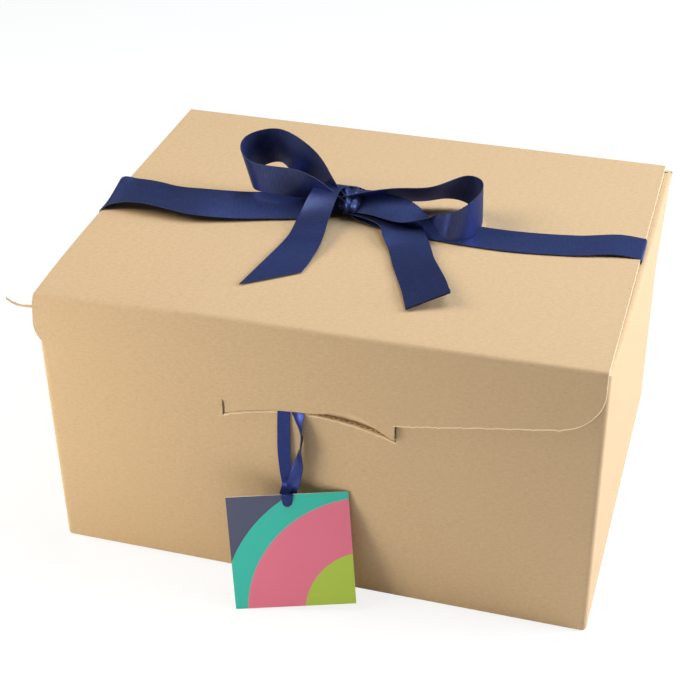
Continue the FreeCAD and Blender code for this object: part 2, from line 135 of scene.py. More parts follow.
class StageSettings(bpy.types.PropertyGroup):
    """The camera's place and turn, and the strength of the even light."""

    camera_place: FloatVectorProperty(
        name="Camera", description="Place of the camera", default=(0.2252, -0.8187, 0.6429),
        subtype="TRANSLATION"
    )
    yaw: angle_setting("Yaw", "Turn of the view about the upright axis, to the right", -16.316)
    pitch: angle_setting("Pitch", "How far the view looks down", 33.071)
    roll: angle_setting("Roll", "Turn of the view about its own axis", -0.318)
    lens: FloatProperty(name="Lens", description="Focal length in millimetres", default=80.95)
    sky: FloatProperty(name="Sky", description="Strength of the even light", default=0.05)


def stood_up(yaw, lean, roll, size):
    """The matrix that rolls a level thing in its plane, stands it up but for a lean, and yaws it."""
    return (
        Matrix.Rotation(yaw, size, "Z")
        @ Matrix.Rotation(math.pi / 2 - lean, size, "X")
        @ Matrix.Rotation(roll, size, "Z")
    )


# Meshes

SHARP_EDGE = math.radians(40)
SAME_PLACE = 1e-7
DRAWN_HEIGHTS = 4096
BEND_ROWS = 9


def distances(points):
    """How far along a line of points each of them is."""
    return np.concatenate([[0], np.cumsum(np.linalg.norm(np.diff(points, axis=0), axis=1))])


def linked(name, data):
    """A new object in the scene for a mesh, a light or a camera."""
    made = bpy.data.objects.new(name, data)
    bpy.context.scene.collection.objects.link(made)
    return made


def shell(outer, inner, flat=None, ring=False, trim=0):
    """A closed shell from two grids of the same shape, its two sides, with a rim between their edges.

    Rim faces take the second material, as do the outer side's last rows, as many as trim says. A
    ring's last column is its first. UVs are lengths in metres: on the sides the distance along the
    grid's columns and rows unless flat gives them, and on the rim its length and its depth. The
    faces are turned over where the sum of the corners' triple products, six times the volume, is
    negative.
    """
    rows, columns = outer.shape[:2]
    if flat is None:
        steps = np.linalg.norm(np.diff(outer, axis=1), axis=2)
        along = np.concatenate([np.zeros((rows, 1)), np.cumsum(steps, axis=1)], axis=1)
        steps = np.linalg.norm(np.diff(outer, axis=0), axis=2)
        across = np.concatenate([np.zeros((1, columns)), np.cumsum(steps, axis=0)], axis=0)
        flat = np.stack([along, across], axis=2)
    count = rows * columns
    index = np.arange(count).reshape(rows, columns)
    same = np.arange(2 * count)
    if ring:
        same[index[:, -1]] = index[:, 0]
        same[index[:, -1] + count] = index[:, 0] + count
        chains = [index[0], index[-1, ::-1]]
    else:
        chains = [np.concatenate([index[0, :-1], index[:-1, -1], index[-1, :0:-1], index[::-1, 0]])]
    corner = [index[:-1, :-1], index[:-1, 1:], index[1:, 1:], index[1:, :-1]]
    front = np.stack([c.ravel() for c in corner], axis=1)
    back = front[:, ::-1] + count
    points = np.concatenate([outer.reshape(-1, 3), inner.reshape(-1, 3)])
    side_uv = np.tile(flat.reshape(-1, 2), (2, 1))
    depth = np.linalg.norm(inner - outer, axis=2).ravel()
    edges, rim_uv = [], []
    for chain in chains:
        start, stop = chain[:-1], chain[1:]
        reach = distances(points[chain])
        edges.append(np.stack([stop, start, start + count, stop + count], axis=1))
        lengths = np.stack([reach[1:], reach[:-1], reach[:-1], reach[1:]], axis=1)
        depths = np.stack([0 * start, 0 * stop, depth[start], depth[stop]], axis=1)
        rim_uv.append(np.stack([lengths, depths], axis=2))
    edge = np.concatenate(edges)
    faces = np.concatenate([front, back, edge])
    uv = np.concatenate([side_uv[front], side_uv[back], *rim_uv])
    used, faces = np.unique(same[faces], return_inverse=True)
    points, faces = points[used], faces.reshape(-1, 4)
    first, second, third, fourth = (points[faces[:, k]] for k in range(4))
    volume = np.sum(np.cross(second, third) * first) + np.sum(np.cross(third, fourth) * first)
    if volume < 0:
        faces, uv = faces[:, ::-1], uv[:, ::-1]
    front_shade = np.where(np.arange(len(front)) // (columns - 1) >= rows - 1 - trim, 1, 0)
    shades = np.concatenate([front_shade, np.zeros(len(back), int), np.ones(len(edge), int)])
    return {"points": points, "faces": faces, "uv": uv, "shades": shades}


def piece(name, shells, materials):
    """One mesh object from shells, smooth but for its sharp edges, in the named material slot."""
    offsets = np.cumsum([0] + [len(part["points"]) for part in shells])
    points = np.concatenate([part["points"] for part in shells])
    faces = np.concatenate([part["faces"] + start for part, start in zip(shells, offsets)])
    mesh = bpy.data.meshes.new(name)
    mesh.from_pydata(points.tolist(), [], faces.tolist())
    for material in materials:
        mesh.materials.append(material)
    mesh.polygons.foreach_set("material_index", np.concatenate([part["shades"] for part in shells]))
    layer = mesh.uv_layers.new(name="Surface")
    layer.data.foreach_set("uv", np.concatenate([part["uv"] for part in shells]).ravel())
    work = bmesh.new()
    work.from_mesh(mesh)
    bmesh.ops.dissolve_degenerate(work, dist=SAME_PLACE, edges=work.edges)
    work.to_mesh(mesh)
    work.free()
    mesh.polygons.foreach_set("use_smooth", np.ones(len(mesh.polygons), bool))
    mesh.set_sharp_from_angle(angle=SHARP_EDGE)
    made = linked(name, mesh)
    return made


def wander(places, seed, step, size):
    """A smooth random line: random heights a step apart, joined by a cosine between them."""
    draw = np.random.default_rng(seed)
    heights = draw.uniform(-size, size, DRAWN_HEIGHTS)
    at = (places - places.min()) / step
    base = np.floor(at).astype(int)
    part = (1 - np.cos((at - base) * np.pi)) / 2
    return heights[base] * (1 - part) + heights[base + 1] * part


def spread(start, stop, count):
    """Places from start to stop that stand closer together near both ends, by a cosine."""
    return start + (stop - start) * (1 - np.cos(np.linspace(0, np.pi, count))) / 2


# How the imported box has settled. Bulge and push are how far a side wall stands out at heights, the
# push's share goes with depth, and the sag is how far the front fold is raised at places across.
SIDE_START = 100 * MM
SIDE_SPAN = 65 * MM
BULGE_HEIGHTS = np.array([0, 150, 165, 179]) * MM
BULGE = np.array([0, 2.5, 1.6, 0.6]) * MM
PUSH_HEIGHTS = np.array([110, 165, 179]) * MM
PUSH = np.array([0, 2.5, 3.6]) * MM
PUSH_DEPTHS = np.array([-125, -80, 40]) * MM
PUSH_SHARE = np.array([0, 0.5, 1])
SAG_PLACES = np.array([-166, -150, -112, -70, 23, 100, 164]) * MM
SAG = np.array([-4.5, -4.1, -3, -0.6, -0.3, 0.5, 1.5]) * MM
SAG_BACK = 20 * MM
SAG_DEPTH = 148.5 * MM
SAG_FOOT = 140 * MM
SAG_RISE = 35 * MM


def settled(points):
    """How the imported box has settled: its side walls bulge, and the front fold sags at the left.

    The left bulge grows with height and fades towards the lid. The right one pushes the top fold
    out from under the lid's edge, but at the front corner. The sag is a line of heights across
    the box, times the cube of how far to the front the point is, and fading down the flap.
    """
    x, y, z = points[..., 0], points[..., 1], points[..., 2]
    leftness = np.clip((-x - SIDE_START) / SIDE_SPAN, 0, 1)
    rightness = np.clip((x - SIDE_START) / SIDE_SPAN, 0, 1)
    under_lid = np.where(z < CARTON_HIGH.z + MM / 10, 1, 0)
    bulge = np.interp(z, BULGE_HEIGHTS, BULGE)
    pushed = np.interp(z, PUSH_HEIGHTS, PUSH)
    along = np.interp(y, PUSH_DEPTHS, PUSH_SHARE)
    sag = np.interp(x, SAG_PLACES, SAG)
    forward = np.clip((SAG_BACK - y) / SAG_DEPTH, 0, 1) ** 3
    upper = np.clip((z - SAG_FOOT) / SAG_RISE, 0, 1)
    moved = points.copy()
    moved[..., 0] += (pushed * rightness * along - bulge * leftness) * under_lid
    moved[..., 2] += sag * forward * upper
    return moved


def settle(shells):
    """The shells with their points settled."""
    return [{**part, "points": settled(part["points"])} for part in shells]


# Materials

# How strongly flecks colour the liner and how high its stripes are for its fibres; then, of the
# board's thickness, how far the fluted paper swings and how much noise there is in a cut.
FLECK_SHARE = 0.45
STRIPE_SHARE = 0.6
WAVE_SHARE = 0.34
RAGGED_SHARE = 0.22


def node(tree, kind, settings=None, links=None):
    """A node with its settings and input values, and links from other nodes' outputs."""
    made = tree.nodes.new(kind)
    for key, value in (settings or {}).items():
        if isinstance(key, int) or key in made.inputs.keys():
            made.inputs[key].default_value = value
        else:
            setattr(made, key, value)
    for key, source in (links or {}).items():
        tree.links.new(source, made.inputs[key])
    return made


def maths(tree, operation, *values):
    """The output of a maths node whose values are numbers or other nodes' outputs."""
    made = node(tree, "ShaderNodeMath", {"operation": operation})
    for at, value in enumerate(values):
        if isinstance(value, (int, float)):
            made.inputs[at].default_value = value
        else:
            tree.links.new(value, made.inputs[at])
    return made.outputs[0]


def surface_place(tree, kind="UV"):
    """The surface's own flat coordinates in metres, or those of the object."""
    return node(tree, "ShaderNodeTexCoord").outputs[kind]


def noise(tree, vector, scale, detail, roughness=0.5):
    """Noise at a place, with about as many blobs to a unit of it as the scale says."""
    settings = {"Scale": scale, "Detail": detail, "Roughness": roughness}
    return node(tree, "ShaderNodeTexNoise", settings, {"Vector": vector}).outputs["Fac"]


def stretched(tree, vector, scale):
    """A place with its three directions scaled."""
    return node(tree, "ShaderNodeMapping", {"Scale": scale}, {"Vector": vector}).outputs["Vector"]


def ramp(tree, source, stops):
    """A colour ramp whose stops are pairs of place and linear colour."""
    made = node(tree, "ShaderNodeValToRGB", links={"Fac": source})
    elements = made.color_ramp.elements
    while len(elements) < len(stops):
        elements.new(0.5)
    for element, (at, shade) in zip(elements, stops):
        element.position = at
        element.color = (*shade, 1)
    return made.outputs["Color"]


def bumped(tree, height, strength, distance):
    """The surface's direction with a height's unevenness in it."""
    settings = {"Strength": strength, "Distance": distance}
    return node(tree, "ShaderNodeBump", settings, {"Height": height}).outputs["Normal"]


def tinted(shade, factor):
    """A linear colour times a factor."""
    return [channel * factor for channel in shade]


def new_material(name):
    """A node material without nodes, and its tree."""
    material = bpy.data.materials.new(name)
    material.use_nodes = True
    material.node_tree.nodes.clear()
    return material, material.node_tree


def surfaced(material, settings, links):
    """The material with its Principled surface joined to its output."""
    tree = material.node_tree
    skin = node(tree, "ShaderNodeBsdfPrincipled", settings, links)
    node(tree, "ShaderNodeOutputMaterial", links={"Surface": skin.outputs[0]})
    return material


def flute_wave(tree, along, settings):
    """The sine of the place along the board, with one wave to a flute."""
    return maths(tree, "SINE", maths(tree, "MULTIPLY", along, 2 * math.pi / settings.flute))


def kraft_liner(name, settings):
    """Unbleached kraft linerboard over B-flute, machine-made paper with a dull face.

    Its long fibres show as fine flecks, its pulp as soft blotches, and the flutes under it as a
    faint washboard of stripes. The fibres are drawn about three times coarser than real ones, as
    finer flecks would not show.
    """
    material, tree = new_material(name)
    shade = list(settings.liner)
    blotch = noise(tree, surface_place(tree, "Object"), scale=520, detail=5, roughness=0.75)
    flat = surface_place(tree)
    fibres = stretched(tree, flat, (260, 1150, 900))
    fibre = noise(tree, fibres, scale=1, detail=3, roughness=0.65)
    split = node(tree, "ShaderNodeSeparateXYZ", links={"Vector": flat})
    stripe = flute_wave(tree, split.outputs["X"], settings)
    blotches = ramp(tree, blotch, [(0.25, tinted(shade, 0.92)), (0.75, tinted(shade, 1.06))])
    flecks = ramp(tree, fibre, [(0.25, (0.78, 0.76, 0.72)), (0.5, (1, 1, 1)), (0.75, (1.09, 1.09, 1.1))])
    mixed = node(tree, "ShaderNodeMix", {"data_type": "RGBA", "blend_type": "MULTIPLY", 0: FLECK_SHARE},
                 {6: blotches, 7: flecks})
    height = maths(tree, "MULTIPLY_ADD", stripe, STRIPE_SHARE, fibre)
    normal = bumped(tree, height, strength=0.12, distance=0.2 * MM)
    return surfaced(material, {"Roughness": 0.78, "IOR": 1.45, "Specular IOR Level": 0.25},
                    {"Base Color": mixed.outputs[2], "Normal": normal})


def fluted_edge(name, settings):
    """The die-cut edge of B-flute board: two pale liners with a wave of paper between the open cells.

    A place is paper where it is near the wave's line or near either face, by its distance as a
    share of the board's thickness; elsewhere it is an open cell of the flute, coloured dark as
    painted shade for its hollow. Noise on the share makes the cut ragged.
    """
    material, tree = new_material(name)
    core = list(settings.core)
    flat = surface_place(tree)
    split = node(tree, "ShaderNodeSeparateXYZ", links={"Vector": flat})
    wave = flute_wave(tree, split.outputs["X"], settings)
    depth = split.outputs["Y"]
    line = maths(tree, "MULTIPLY_ADD", wave, BOARD * WAVE_SHARE, BOARD / 2)
    to_wave = maths(tree, "ABSOLUTE", maths(tree, "SUBTRACT", depth, line))
    off_middle = maths(tree, "ABSOLUTE", maths(tree, "SUBTRACT", depth, BOARD / 2))
    to_liner = maths(tree, "SUBTRACT", BOARD / 2, off_middle)
    share = maths(tree, "DIVIDE", maths(tree, "MINIMUM", to_wave, to_liner), BOARD)
    ragged = noise(tree, flat, scale=700, detail=3)
    torn = maths(tree, "MULTIPLY_ADD", ragged, RAGGED_SHARE, -RAGGED_SHARE / 2)
    # Paper takes the core colour; the open cells take a darker copy of it, as painted shade.
    shade = ramp(tree, maths(tree, "ADD", share, torn), [(0.18, core), (0.3, tinted(core, 0.42))])
    return surfaced(material, {"Roughness": 0.9, "Specular IOR Level": 0.2}, {"Base Color": shade})


def woven_satin(name, shade):
    """Navy polyester satin ribbon: long floats of bright yarn, so a soft blue sheen across the ribbon.

    About half of it reflects as metal does, because bright yarn keeps its colour in its
    highlights. The picks are about 0.3 mm apart in reality and are drawn 0.6 mm apart to show.
    """
    material, tree = new_material(name)
    yarns = stretched(tree, surface_place(tree), (220, 1700, 1))
    floats = noise(tree, yarns, scale=1, detail=2)
    shades = ramp(tree, floats, [(0.3, tinted(shade, 0.8)), (0.7, tinted(shade, 1.15))])
    return surfaced(material, {
        "Metallic": 0.55, "Roughness": 0.36, "Specular IOR Level": 0.4, "Anisotropic": 0.5,
        "Specular Tint": (*linear("8FA2FF"), 1),
    }, {"Base Color": shades, "Normal": bumped(tree, floats, strength=0.08, distance=0.1 * MM)})


def dull(name, kind, scale, detail, low, high):
    """A dull surface whose noise goes from a low shade to a high one."""
    material, tree = new_material(name)
    grain = noise(tree, surface_place(tree, kind), scale, detail)
    shades = ramp(tree, grain, [(0.3, low), (0.7, high)])
    return surfaced(material, {"Roughness": 0.8}, {"Base Color": shades})


def ribbon_selvedge(name, shade):
    """The ribbon's edge, where the yarns turn back and lie dull and dark."""
    low, high = tinted(shade, 0.35), tinted(shade, 0.7)
    return dull(name, "UV", scale=2000, detail=1, low=low, high=high)


# The rings' middle from the card's middle, and the distance that the inks' shares are of, all as
# shares of the card's side.
RING_MIDDLE = (0.62, -0.58)
RING_REACH = 1.7
INKS = [(0, "B4CD3A"), (0.32, "EE7590"), (0.6, "22C4B0"), (0.72, "444766")]


def printed_card(name, settings):
    """Coated card, offset printed: smooth flat inks in rings about the lower right corner."""
    material, tree = new_material(name)
    flat = surface_place(tree)
    corner = (settings.side * RING_MIDDLE[0], settings.side * RING_MIDDLE[1], 0)
    distance = node(tree, "ShaderNodeVectorMath", {"operation": "DISTANCE", 1: corner}, {0: flat})
    share = maths(tree, "DIVIDE", distance.outputs["Value"], settings.side * RING_REACH)
    inks = ramp(tree, share, [(at, linear(code)) for at, code in INKS])
    inks.node.color_ramp.interpolation = "CONSTANT"
    grain = bumped(tree, noise(tree, flat, scale=900, detail=2), strength=0.04, distance=0.1 * MM)
    return surfaced(material, {"Roughness": 0.42, "IOR": 1.48}, {"Base Color": inks, "Normal": grain})


def bare_card(name):
    """White card stock, as its cut edges show it."""
    low, high = linear("E2E0DA"), linear("FBFAF6")
    return dull(name, "Object", scale=1500, detail=2, low=low, high=high)


def once(name, make, *values):
    """The material of a name, made only if there is none yet."""
    return bpy.data.materials.get(name) or make(name, *values)


def board_materials():
    """The liner and the cut edge."""
    settings = bpy.context.scene.gift_board
    return [
        once("kraft_linerboard_on_flutes", kraft_liner, settings),
        once("die_cut_fluted_edge", fluted_edge, settings),
    ]


def satin_materials(name, shade):
    """The named satin and the selvedge."""
    selvedge = list(bpy.context.scene.gift_ribbon.colour)
    return [once(name, woven_satin, list(shade)), once("woven_selvedge", ribbon_selvedge, selvedge)]


# The carton

LIP_SEED = 3
LIP_STEP = 2.4 * MM
LIP_ROUGH = 0.25 * MM
SLOT_MIDDLE = -3 * MM
SLOT_HALF = 52 * MM
SLOT_CROWN = 124 * MM
SLOT_RISE = 9.6 * MM
SLOT_TOP = 146 * MM
BASE_SEAM = 20 * MM
SEAM_HALF = 0.4 * MM
DUST_LENGTH = 85 * MM
DUST_TAPER = 13 * MM
DUST_GAP = 2 * MM
TAB_WIDTH = 30 * MM
TAB_MARGIN = 12 * MM
FOOT = 2 * MM
CRUSH = 0.9 * MM
CRUSH_LEFT = CRUSH / 3
CRUSH_IN = 0.45 * MM
# How many rows and columns the walls and panels have.
WALL_COUNTS = (40, 50, 60, 50, 40)
WALL_ROWS = 40
FOLD_ROWS = 7
LIP_COUNT = 160
OVER_ROWS = 8
PANEL_COUNT = 60
PANEL_ROWS = 24
DUST_COUNT = 80
TAB_COUNT = 12


def slot_arc(across):
    """Height of the slot's lip: a circle's arc through both ends of the slot and its crown."""
    radius = (SLOT_HALF ** 2 + SLOT_RISE ** 2) / (2 * SLOT_RISE)
    return SLOT_CROWN - radius + np.sqrt(radius ** 2 - (across - SLOT_MIDDLE) ** 2)


def perimeter():
    """The carton's plan from the slot's right end round to its left end.

    Returns points on the walls' inner face, the outward direction at each, and whether each lies
    on a side wall, as every second stretch does. A corner is one inner point whose outward
    direction turns a quarter.
    """
    left, right = CARTON_LOW.x + BOARD, CARTON_HIGH.x - BOARD
    front, back = CARTON_LOW.y + BOARD, CARTON_HIGH.y - BOARD
    turns = np.linspace(0, np.pi / 2, BEND_ROWS)[1:-1]
    corners = np.array([
        (SLOT_MIDDLE + SLOT_HALF, front), (right, front), (right, back),
        (left, back), (left, front), (SLOT_MIDDLE - SLOT_HALF, front),
    ])
    points, angles, sides = [], [], []
    for at, count in enumerate(WALL_COUNTS):
        start, stop = corners[at], corners[at + 1]
        angle = (at - 1) * np.pi / 2
        share = np.linspace(0, 1, count)[:, None]
        points.append(start * (1 - share) + stop * share)
        angles.append(np.full(count, angle))
        sides.append(np.full(count, at % 2))
        points.append(np.repeat(stop[None], len(turns), axis=0))
        angles.append(angle + turns)
        sides.append(np.zeros(len(turns)))
    points, angles, sides = (np.concatenate(part[:-1]) for part in (points, angles, sides))
    return points, np.stack([np.cos(angles), np.sin(angles)], axis=1), sides


def wall(points, outward, sides, top, trim=0):
    """Upright wall over a plan: a quarter-round fold at the floor, then straight up to the top.

    The top is one height per column. Where the column is on a side wall, the last stretch is a
    quarter round instead, which leads into the dust flap. A wall with trim is crushed at its top.
    """
    fold = BOARD
    bend = np.linspace(0, np.pi / 2, FOLD_ROWS)
    foot_in, foot_up = FOOT * (1 - np.sin(bend)), FOOT * (1 - np.cos(bend))
    share = np.linspace(0, 1, WALL_ROWS)[1:]
    rise = FOOT + (top[None, :] - fold - FOOT) * share[:, None]
    end_in = sides[None, :] * (fold * (1 - np.cos(bend)))[1:, None] + 0 * top
    if trim:
        end_in[-1] += CRUSH_IN
    straight = (fold * bend / bend[-1])[1:, None]
    round_up = (fold * np.sin(bend))[1:, None]
    end_up = top - fold + np.where(sides[None, :] > 0, round_up, straight)
    count = len(points)
    foot_in, foot_up = (np.repeat(side[:, None], count, axis=1) for side in (foot_in, foot_up))
    inset = np.concatenate([foot_in, np.zeros((len(share), count)), end_in])
    height = np.concatenate([foot_up, rise, end_up])
    reach = (BOARD - inset)[..., None]
    plan = points[None] + outward[None] * reach
    outer = np.concatenate([plan, height[..., None]], axis=2)
    inner_up = np.clip(height, fold, top - sides * fold)
    inner = np.concatenate([np.repeat(points[None], len(height), axis=0), inner_up[..., None]], axis=2)
    return shell(outer, inner, trim=trim)


def panel(first, second, axis, low):
    """A flat board between two outlines, each its x, y and z, and one board thick along an axis."""
    share = np.linspace(0, 1, PANEL_ROWS)[:, None, None]
    first, second = (np.stack(np.broadcast_arrays(*side), axis=1) for side in (first, second))
    inner = first[None] * (1 - share) + second[None] * share
    outer = inner.copy()
    outer[..., axis] = low + BOARD
    inner[..., axis] = low
    return shell(outer, inner)


class GIFT_OT_carton(bpy.types.Operator):
    """Make the glued carton with its base, dust flaps, glue tab and front slot"""

    bl_idname = "gift.carton"
    bl_label = "Carton"

    def execute(self, context):
        top = CARTON_HIGH.z
        points, outward, sides = perimeter()
        shells = [wall(points, outward, sides, np.full(len(points), top))]
        across = np.linspace(SLOT_MIDDLE - SLOT_HALF, SLOT_MIDDLE + SLOT_HALF, LIP_COUNT)
        plan = np.stack([across, np.full(LIP_COUNT, CARTON_LOW.y + BOARD)], axis=1)
        toward = np.repeat(np.array([[0.0, -1.0]]), LIP_COUNT, axis=0)
        lip = slot_arc(across) + wander(across, LIP_SEED, LIP_STEP, LIP_ROUGH)
        shells.append(wall(plan, toward, np.zeros(LIP_COUNT), lip, trim=2))
        share = np.linspace(0, 1, OVER_ROWS)[:, None]
        over = SLOT_TOP * (1 - share) + top * share + 0 * across[None]
        outer = np.stack([across[None] + 0 * over, CARTON_LOW.y + 0 * over, over], axis=2)
        shells.append(shell(outer, outer + np.array([0, BOARD, 0])))
        left, right = CARTON_LOW.x + BOARD, CARTON_HIGH.x - BOARD
        near, far = CARTON_LOW.y + BOARD, CARTON_HIGH.y - BOARD
        line = np.linspace(left, right, PANEL_COUNT)
        for start, stop in ((near, BASE_SEAM - SEAM_HALF), (BASE_SEAM + SEAM_HALF, far)):
            shells.append(panel((line, start, 0), (line, stop, 0), 2, 0))
        line = np.linspace(near, far, PANEL_COUNT)
        for start, stop in ((left, -SEAM_HALF), (SEAM_HALF, right)):
            shells.append(panel((start, line, 0), (stop, line, 0), 2, BOARD))
        depth = np.linspace(near + DUST_GAP, far - DUST_GAP, DUST_COUNT)
        inset = np.minimum(depth - depth[0], depth[-1] - depth)
        length = DUST_LENGTH - np.clip(DUST_TAPER - inset, 0, DUST_TAPER)
        for root, sense in ((left, 1), (right, -1)):
            shells.append(panel((root, depth, 0), (root + sense * length, depth, 0), 2, top - BOARD))
        edge = np.linspace(far - TAB_WIDTH, far, TAB_COUNT)
        foot, head = 2 * BOARD + TAB_MARGIN, top - BOARD - TAB_MARGIN
        shells.append(panel((left, edge, foot), (left, edge, head), 0, left))
        made = piece("carton_board", settle(shells), board_materials())
        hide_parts("carton")
        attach(made, "carton")
        return {"FINISHED"}


# The lid and its front flap

FLAP_NOTCH = 127.5 * MM
FLAP_LEFT_END = 141 * MM
FLAP_RIGHT_END = 147 * MM
FLAP_CORNER = 22 * MM
TONGUE_GAP = 1.5 * MM
TONGUE_REACH = 20 * MM
CUT_GAP = 1.3 * MM
TONGUE_IN = 6.6 * MM
TONGUE_SLOPE = 0.35
CREASE_LOW = 3 * MM
GAPE_RISE = 8 * MM
GAPE_MIDDLE = 24 * MM
GAPE_WIDTH = 16 * MM
LID_ROWS = 90
FLAP_ROWS = 60
TONGUE_ROWS = (40, 16, 10)
TONGUE_COUNT = 90
HINGE_COUNT = 80
EDGE_COUNT = 200
EDGE_STEP = 2.2 * MM
EDGE_ROUGH = 0.3 * MM
EDGE_SEEDS = (11, 12)
# Where across the box the free edge hangs a little lower, in small tufts of torn paper.
NICKS = np.array([59, 73.5, 103.7, 114, 125.8, 129.9, 140]) * MM
NICK_DEPTH = 0.6 * MM
NICK_WIDTH = 0.7 * MM
SLIVER_SPACING = 0.4
SLIVER_EASE = 1
SLIVER_THICKNESS = 0.3 * MM

# Stations of the torn sliver in millimetres: its middle, then the direction to its edge.
SLIVER = [
    (-163.5, -128.6, 171.6, 0, 0.2, 0.8),
    (-166.5, -128.8, 171.2, 0, 0.2, 0.9),
    (-170, -128.6, 170.8, 0, 0.3, 0.7),
    (-174, -128, 170.1, 0, 0.4, 0.6),
    (-178, -127.5, 170.3, 0, 0.5, 0.5),
    (-181.5, -127, 171.2, 0, 0.5, 0.4),
    (-184.5, -126.5, 172.8, 0, 0.5, 0.3),
]


def free_edge(across, notch, end, end_height):
    """Height of the flap's free edge: a sloping line that a circle rounds up at the outer end."""
    share = (across - notch) / (end - notch)
    line = FLAP_NOTCH + (end_height - FLAP_NOTCH) * share
    near = np.clip(1 - np.abs(end - across) / FLAP_CORNER, 0, 1)
    return line + FLAP_CORNER * (1 - np.sqrt(1 - near ** 2))


def crease_height(across):
    """How far above the lip the tongue starts to bend: little, but more where it gapes at the right."""
    return CREASE_LOW + GAPE_RISE * np.exp(-((across - GAPE_MIDDLE) / GAPE_WIDTH) ** 2)


def profile(depth, height, count):
    """Depths and heights as rows of a grid whose columns, as many as the count, are alike."""
    sides = np.broadcast_arrays(depth, height)
    return np.stack([np.repeat(side[:, None], count, axis=1) for side in sides], axis=2)


def swept(across, section):
    """Points in space from a grid of depths and heights, one column for each place across the box."""
    place = np.broadcast_to(across[None, :, None], section.shape[:2] + (1,))
    return np.concatenate([place, section], axis=2)


def lid_section(across, low, fold, crease=None, crush=0):
    """Lid and flap as one bent board: flat lid, a quarter-round fold, then the flap down to low.

    Where there is no crease, the outer paper is crushed inwards from as far above the free edge
    as crush says. Where there is one, the flap goes inwards by a smooth step over the crease's
    height above the lip, and then slopes on as a tongue.
    """
    count = len(across)
    turn = LID_HIGH.z - fold
    lid = profile(np.linspace(LID_HIGH.y - fold, FLAP_LOW.y + fold, LID_ROWS), LID_HIGH.z, count)
    bend = np.linspace(0, np.pi / 2, BEND_ROWS)[1:]
    arc = profile(FLAP_LOW.y + fold * (1 - np.sin(bend)), turn + fold * np.cos(bend), count)
    if crease is None:
        share = np.linspace(0, 1, FLAP_ROWS)[1:, None]
        down = np.concatenate([turn + (low[None] + crush - turn) * share, low[None]])
        inward = np.zeros(down.shape)
        inward[-1] = CRUSH_IN
        slope = np.zeros(down.shape)
    else:
        top = low + crease
        shares = [np.linspace(0, 1, rows)[1:, None] for rows in TONGUE_ROWS]
        flat = turn + (top[None] - turn) * shares[0]
        bent = top[None] + (low - top)[None] * shares[1]
        tongue = low[None] - TONGUE_REACH * shares[2]
        down = np.concatenate([flat, bent, tongue])
        run = np.clip((top[None] - down) / crease[None], 0, 1)
        beyond = np.clip(low[None] - down, 0, None)
        inward = TONGUE_IN * run ** 2 * (3 - 2 * run) + TONGUE_SLOPE * beyond
        slope = TONGUE_IN * 6 * run * (1 - run) / crease[None] + TONGUE_SLOPE * (beyond > 0)
    flap = np.stack([FLAP_LOW.y + inward, down], axis=2)
    normal = np.stack([np.ones(slope.shape), slope], axis=2) / np.sqrt(1 + slope ** 2)[..., None]
    back = flap + normal * BOARD
    if crease is None:
        back[-1] = flap[-1] + np.array([BOARD - CRUSH_IN, 0])
    outer = np.concatenate([lid, arc, flap])
    crook = profile(FLAP_LOW.y + fold + 0 * bend, turn, count)
    inner = np.concatenate([lid - np.array([0, BOARD]), crook, back])
    return shell(swept(across, outer), swept(across, inner), trim=1 if crush else 0)


class GIFT_OT_lid(bpy.types.Operator):
    """Make the lid and front flap as one folded board with its tongue in the slot"""

    bl_idname = "gift.lid"
    bl_label = "Lid and Flap"

    def execute(self, context):
        settings = context.scene.gift_board
        fold = settings.fold
        left_notch = SLOT_MIDDLE - SLOT_HALF + TONGUE_GAP
        right_notch = SLOT_MIDDLE + SLOT_HALF - CUT_GAP / 2
        shells = []
        for notch, end, height, seed, crush in (
            (left_notch, LID_LOW.x, FLAP_LEFT_END, EDGE_SEEDS[0], CRUSH_LEFT),
            (right_notch, LID_HIGH.x, FLAP_RIGHT_END, EDGE_SEEDS[1], CRUSH),
        ):
            across = spread(notch, end, EDGE_COUNT)
            low = free_edge(across, notch, end, height) + wander(across, seed, EDGE_STEP, EDGE_ROUGH)
            low -= NICK_DEPTH * np.exp(-((across[:, None] - NICKS) / NICK_WIDTH) ** 2).sum(axis=1)
            shells.append(lid_section(across, low, fold, crush=crush))
        across = np.linspace(left_notch, right_notch, TONGUE_COUNT)
        tongue = lid_section(across, slot_arc(across), fold, crease_height(across))
        cut = tongue["points"][:, 2] < FLAP_NOTCH
        tongue["points"][cut, 0] = np.maximum(tongue["points"][cut, 0], left_notch + CUT_GAP)
        shells.append(tongue)
        made = piece("lid_and_flap_board", settle(shells), board_materials())
        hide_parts("lid_panel", "front_flap")
        end = (0, FLAP_LOW.y, LID_HIGH.z - fold)
        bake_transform(made)
        return {"FINISHED"}


class GIFT_OT_hinge(bpy.types.Operator):
    """Make the rounded fold that hinges the lid to the back panel"""

    bl_idname = "gift.hinge"
    bl_label = "Back Fold"

    def execute(self, context):
        fold = context.scene.gift_board.fold
        turn = LID_HIGH.z - fold
        bend = np.linspace(0, np.pi / 2, BEND_ROWS)
        outer_y = np.concatenate([[LID_HIGH.y], LID_HIGH.y - fold * (1 - np.cos(bend))])
        outer_z = np.concatenate([[CARTON_HIGH.z], turn + fold * np.sin(bend)])
        inner_y = np.full(len(outer_y), LID_HIGH.y - fold)
        inner_z = np.concatenate([[CARTON_HIGH.z], np.full(len(bend), turn)])
        across = np.linspace(LID_LOW.x, LID_HIGH.x, HINGE_COUNT)
        outer, inner = (
            swept(across, profile(depth, height, len(across)))
            for depth, height in ((outer_y, outer_z), (inner_y, inner_z))
        )
        made = piece("back_fold_board", [shell(outer, inner)], board_materials())
        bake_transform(made)
        return {"FINISHED"}


